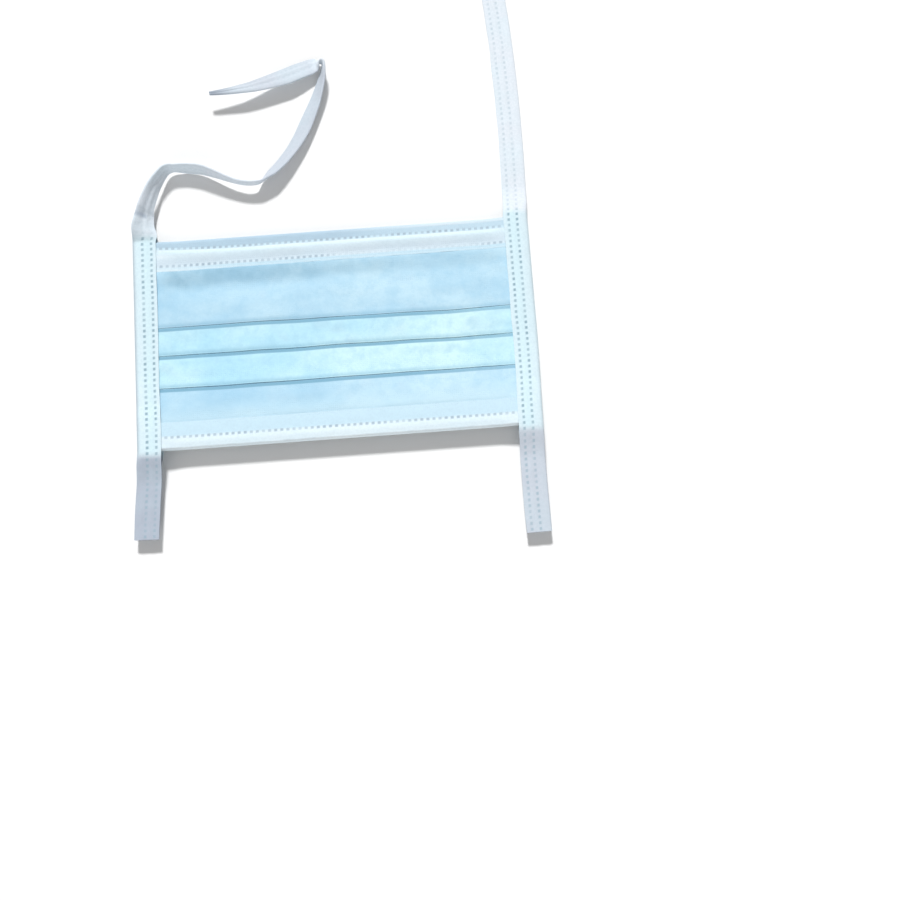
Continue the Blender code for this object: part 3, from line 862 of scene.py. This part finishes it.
def course_of(bends, length, step):
    """Heading, lean, lift and width along a tie in even steps, with their corners eased."""
    count = round(length / step)
    distance = np.linspace(0.0, length, count + 1)
    shares = [bend.share * length for bend in bends]
    window = max(1, round(COURSE_SMOOTHING / step))
    kernel = np.hanning(window + 2)[1:-1]
    kernel /= kernel.sum()
    eased = []
    for column in range(1, 5):
        plain = np.interp(distance, shares, [bend[column] for bend in bends])
        padded = np.pad(plain, (window, window), mode="edge")
        eased.append(np.convolve(padded, kernel, mode="same")[window:-window])
    heading, lean, lift, width = eased
    return distance, np.radians(heading), np.radians(lean), lift, width


def tie_line(bends, length, start, step, slant):
    """Places and the strip's values along a tie that starts at the body's edge."""
    distance, heading, lean, lift, width = course_of(bends, length, step)
    middle = (heading[1:] + heading[:-1]) / 2
    stride = np.diff(distance)
    x = start[0] + np.concatenate(([0.0], np.cumsum(np.cos(middle) * stride)))
    y = start[1] + np.concatenate(([0.0], np.cumsum(np.sin(middle) * stride)))
    cut = slant * np.clip(1.0 - (length - distance) / SLANT_LENGTH, 0.0, 1.0)
    return np.stack((x, y, distance, heading, lean, lift, width, cut), axis=-1)


def tape_course(side, upper, upper_length, lower, lower_length, slant):
    """The whole tape from its lower cut end to its upper cut end."""
    step = PITCH / COLUMNS_PER_PITCH
    x = side * (HALF_WIDTH - TAPE_WIDTH / 2)
    low = tie_line(lower, lower_length, (x, -HALF_HEIGHT), step, 0.0)[::-1]
    low[:, 3] -= math.pi
    low[:, 0] = drawn_in(low[:, 0], 1.0)
    low[:, 1] -= CHIN_DROP
    low[:, 5] += CHIN_LIFT
    top = tie_line(upper, upper_length, (x, HALF_HEIGHT), step, slant)
    y = np.array(even_steps(-HALF_HEIGHT, HALF_HEIGHT, step)[1:-1])
    body = np.zeros((len(y), 8))
    share = chin_share(HALF_HEIGHT - y)
    body[:, 0] = drawn_in(x, share)
    body[:, 1] = y - CHIN_DROP * share
    body[:, 3] = math.pi / 2
    body[:, 5] = CHIN_LIFT * share
    body[:, 6] = 1.0
    course = np.concatenate((low, body, top))
    window = 5
    kernel = np.hanning(window + 2)[1:-1]
    kernel /= kernel.sum()
    padded = np.pad(course[:, 3], (window, window), mode="edge")
    course[:, 3] = np.convolve(padded, kernel, mode="same")[window:-window]
    return course


def build_tape(name, side, course, weld_rows, clear_above, painted_shade_above, painted_shade_below, seed, material):
    """One tape folded lengthwise: two legs that bind the body's side and run on as ties."""
    place = course[:, :2]
    past, heading, lean, lift, width, cut = course[:, 2:].T
    count = len(place)
    inner = even_steps(0.0, TAPE_WIDTH - FOLD_REACH, 1.05 * MM)
    top_run = even_steps(FOLD_REACH, TAPE_WIDTH, 0.34 * MM)
    turns = list(np.linspace(-90, 90, 9))
    from_fold = [TAPE_WIDTH - u for u in inner[:-1]]
    from_fold += [FOLD_REACH * (1 - math.cos(math.radians(a))) for a in turns]
    from_fold += top_run[1:]
    level = [-1.0] * (len(inner) - 1)
    level += [math.sin(math.radians(a)) for a in turns]
    level += [1.0] * (len(top_run) - 1)
    from_fold = np.array(from_fold)
    level = np.array(level)
    is_top = (level > 0.5) * 1.0

    along = np.arange(count) * PITCH / COLUMNS_PER_PITCH
    u_fold, s = np.meshgrid(from_fold, along)
    h_level = np.broadcast_to(level, (count, len(level)))
    top_side = np.broadcast_to(is_top, (count, len(level)))
    flat_end = smoothstep(past / TAPER_LENGTH)[:, None]
    bound = stack_top(place[:, 1])[:, None] + CLOTH + BINDING_GAP
    near_fold = hill(u_fold, 0.0, 4.5 * MM)
    bound = bound - FOLD_DROP * near_fold
    waves = Ripple(seed, 5 * MM, 24 * MM)(u_fold * 1.6, s)
    tie = TIE_THICKNESS - 0.08 * MM + waves * TIE_WAVES
    between = (weld_rows[0] + weld_rows[1]) / 2
    plump = hill(u_fold, between, (weld_rows[1] - weld_rows[0]) / 2) * PLUMP_BETWEEN
    plump = plump + hill(u_fold, weld_rows[0] / 2, weld_rows[0] / 2) * PLUMP_BESIDE
    closing = smoothstep(past / CLOSING_LENGTH)[:, None]
    thick = mix(bound + waves * BINDING_WAVES, tie, closing) + plump
    half = (thick - CLOTH) / 2
    raised = (mix(bound, tie, flat_end) - mix(bound, tie, closing)).mean(axis=1)
    height = CLOTH / 2 + half * (1.0 + h_level)

    edge_wave = Ripple(seed + 1, 9 * MM, 40 * MM)(s, 0.0) * WIDTH_WAVES
    u = side * (TAPE_WIDTH / 2 - u_fold * (1.0 + edge_wave / TAPE_WIDTH))
    edge = TAPE_WIDTH / 2 * width[:, None]
    u = edge - (edge - u * width[:, None]) * (1.0 - (1.0 - SLANT_TIP) * cut[:, None])
    h = heading[:, None]
    tilt = lean[:, None]
    right = np.stack((np.sin(h), -np.cos(h), np.zeros_like(h)), axis=-1)
    up = np.zeros_like(right)
    up[..., 2] = 1.0
    across = right * np.cos(tilt)[..., None] + up * np.sin(tilt)[..., None]
    out = up * np.cos(tilt)[..., None] - right * np.sin(tilt)[..., None]
    base = lift[:, None] + TAPE_WIDTH / 2 * width[:, None] * np.abs(np.sin(tilt))
    base = base + TIE_THICKNESS / 2 * np.abs(np.cos(tilt))
    past_kink = past - KINK_PAST
    kink = smoothstep(past_kink / (3.0 * MM)) * smoothstep(1.0 - past_kink / KINK_LENGTH)
    raised = raised + kink * (place[:, 1] > 0.0) * (side < 0) * KINK_RISE
    curl = Ripple(seed + 2, 16 * MM, 60 * MM)(s, 0.0) * smoothstep(np.abs(tilt) / 0.5)
    bow = (1.0 - (2 * u / TAPE_WIDTH) ** 2) * curl * BOW
    middle = np.zeros((count, len(level), 3))
    middle[..., 0] = place[:, 0][:, None]
    middle[..., 1] = place[:, 1][:, None]
    middle[..., 2] = base + raised[:, None]
    centre = middle + across * u[..., None] + out * (height + bow - TIE_THICKNESS / 2)[..., None]
    if side > 0:
        centre = centre[:, ::-1]
        u_fold, top_side = u_fold[:, ::-1], top_side[:, ::-1]
    centre[..., 2] += np.maximum(0.0, CLOTH / 2 + FLOOR_GAP - centre[..., 2])
    rows = dots(s, u_fold, weld_rows)
    over_body = 1.0 - smoothstep(past / TINT_LENGTH)[:, None]
    # Painted shade: a dark band across the upper left tie where it kinks up off the floor
    crease = hill(past, KINK_PAST - 0.6 * MM, 1.9 * MM) * (place[:, 1] > 0.0) * (side < 0)
    crease = 0.8 * crease[:, None] * smoothstep((7.5 * MM - u_fold) / (2.5 * MM))
    # Painted shade on the tie's overturned stretches and on its runs past the corner
    turned = 0.45 * smoothstep(-(tilt + math.radians(95)) / 0.5)
    turned = turned + 0.32 * smoothstep((past[:, None] - CORNER_PAST) / (6 * MM))
    turned = turned * (side < 0)
    # Painted shade along the tape's folded outer edge over the body
    painted_edge_shade = 0.7 * hill(u_fold, 0.0, 1.9 * MM) * (side < 0) * over_body
    tint = np.broadcast_to(over_body, rows.shape)
    upper = (place[:, 1] > 0.0)[:, None]
    clear = np.where(upper, clear_above, 0.65)
    clear = mix(clear, 1.0, over_body)
    clear = clear * np.clip(0.85 + 0.28 * Ripple(seed + 3, 3 * MM, 20 * MM)(u_fold * 2, s), 0.35, 1.0)
    item = make_sheet(name, centre, np.stack((u_fold, s), axis=-1), {
        "weld": rows * clear,
        "tint": tint * (0.55 + 0.25 * hill(u_fold, between, 4 * MM)),
        # painted shade on the folded edge and on the slanted tip, seen on edge
        "deep": painted_edge_shade + 0.8 * smoothstep((cut[:, None] - 0.6) / 0.4),
        # painted shade: darker on each tie by where it lies, plus the kink band and the shade on its
        # far runs
        "dim": np.where(upper, painted_shade_above + turned, painted_shade_below) * (1.0 - over_body) + crease,
    }, top=CLOTH / 2 - rows * DOT_DEPTH * 0.8, bottom=CLOTH / 2)
    item.data.materials.append(material)
    return item, along[-1]


def build_floor():
    """A wide pale floor that the mask lies on."""
    side = 3.0
    mesh = bpy.data.meshes.new("floor")
    corners = [(-side, -side, 0), (side, -side, 0), (side, side, 0), (-side, side, 0)]
    mesh.from_pydata(corners, [], [(0, 1, 2, 3)])
    floor = bpy.data.objects.new("floor", mesh)
    bpy.context.scene.collection.objects.link(floor)
    material = bpy.data.materials.new("floor")
    _, shader = nodes_of(material)
    shader.inputs["Base Color"].default_value = FLOOR_COLOUR
    shader.inputs["Roughness"].default_value = 0.95
    shader.inputs["Specular IOR Level"].default_value = 0.0
    mesh.materials.append(material)


def build_lights():
    """A key light from beyond the nose edge, a low fill from the viewer, and a sky."""
    for sun in SUNS:
        light = bpy.data.lights.new(sun.name, "SUN")
        light.energy = sun.strength
        light.angle = math.radians(sun.softness)
        item = bpy.data.objects.new(sun.name, light)
        elevation = math.radians(sun.elevation)
        azimuth = math.radians(sun.azimuth)
        level = math.cos(elevation)
        towards = Vector((-math.sin(azimuth) * level, math.cos(azimuth) * level, math.sin(elevation)))
        item.rotation_mode = "QUATERNION"
        item.rotation_quaternion = towards.to_track_quat("Z", "Y")
        bpy.context.scene.collection.objects.link(item)
    world = bpy.data.worlds.new("sky")
    world.use_nodes = True
    sky = world.node_tree.nodes["Background"]
    sky.inputs["Color"].default_value = (1.0, 1.0, 1.0, 1.0)
    sky.inputs["Strength"].default_value = SKY_STRENGTH
    bpy.context.scene.world = world


def build_camera():
    """The photograph's view: from 78 degrees above the floor, with a small roll."""
    data = bpy.data.cameras.new("camera")
    data.lens = CAMERA_LENS
    data.sensor_width = SENSOR
    data.clip_start = 0.01
    data.clip_end = 20.0
    camera = bpy.data.objects.new("camera", data)
    bpy.context.scene.collection.objects.link(camera)
    elevation = math.radians(CAMERA_ELEVATION)
    back = Vector((0.0, -math.cos(elevation), math.sin(elevation)))
    right = Vector((1.0, 0.0, 0.0))
    up = right.cross(-back)
    roll = math.radians(CAMERA_ROLL)
    turned_right = right * math.cos(roll) + up * math.sin(roll)
    turned_up = up * math.cos(roll) - right * math.sin(roll)
    axes = Matrix((turned_right, turned_up, back)).transposed()
    camera.matrix_world = Matrix.Translation(AIM + back * CAMERA_DISTANCE) @ axes.to_4x4()
    bpy.context.scene.camera = camera


def main():
    scene = bpy.context.scene
    scene.view_settings.view_transform = "Standard"
    build_camera()
    build_lights()
    build_floor()

    hem_finish = white_cloth_material("inner_cloth", HEM_COLOURS)
    tape_finish = white_cloth_material("tape_cloth", TAPE_COLOURS)

    outer, outer_length = build_outer_cloth()
    outer.data.materials.append(outer_cloth_material())
    inner, inner_length = build_inner_cloth(hem_finish)
    wire = build_wire(wire_material())
    left_course = tape_course(
        -1, UPPER_LEFT_TIE, UPPER_LEFT_TIE_LENGTH, LOWER_LEFT_TIE, LOWER_LEFT_TIE_LENGTH, slant=1.0)
    left, left_length = build_tape(
        "left_tape_cloth", -1, left_course, LEFT_TAPE_ROWS, clear_above=0.12, painted_shade_above=0.10,
        painted_shade_below=0.95, seed=41, material=tape_finish)
    right_course = tape_course(
        1, UPPER_RIGHT_TIE, UPPER_RIGHT_TIE_LENGTH, LOWER_RIGHT_TIE, LOWER_RIGHT_TIE_LENGTH, slant=0.0)
    right, right_length = build_tape(
        "right_tape_cloth", 1, right_course, RIGHT_TAPE_ROWS, clear_above=0.35, painted_shade_above=0.0,
        painted_shade_below=0.55, seed=51, material=tape_finish)

    for piece, node, slot in (
        (outer, "outer_ply", "outer_cloth"),
        (inner, "inner_ply", "inner_cloth"),
        (wire, "nose_wire", "wire"),
        (left, "left_tape", "tape"),
        (right, "right_tape", "tape"),
    ):
        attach(piece, "root")
        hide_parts(node)


main()
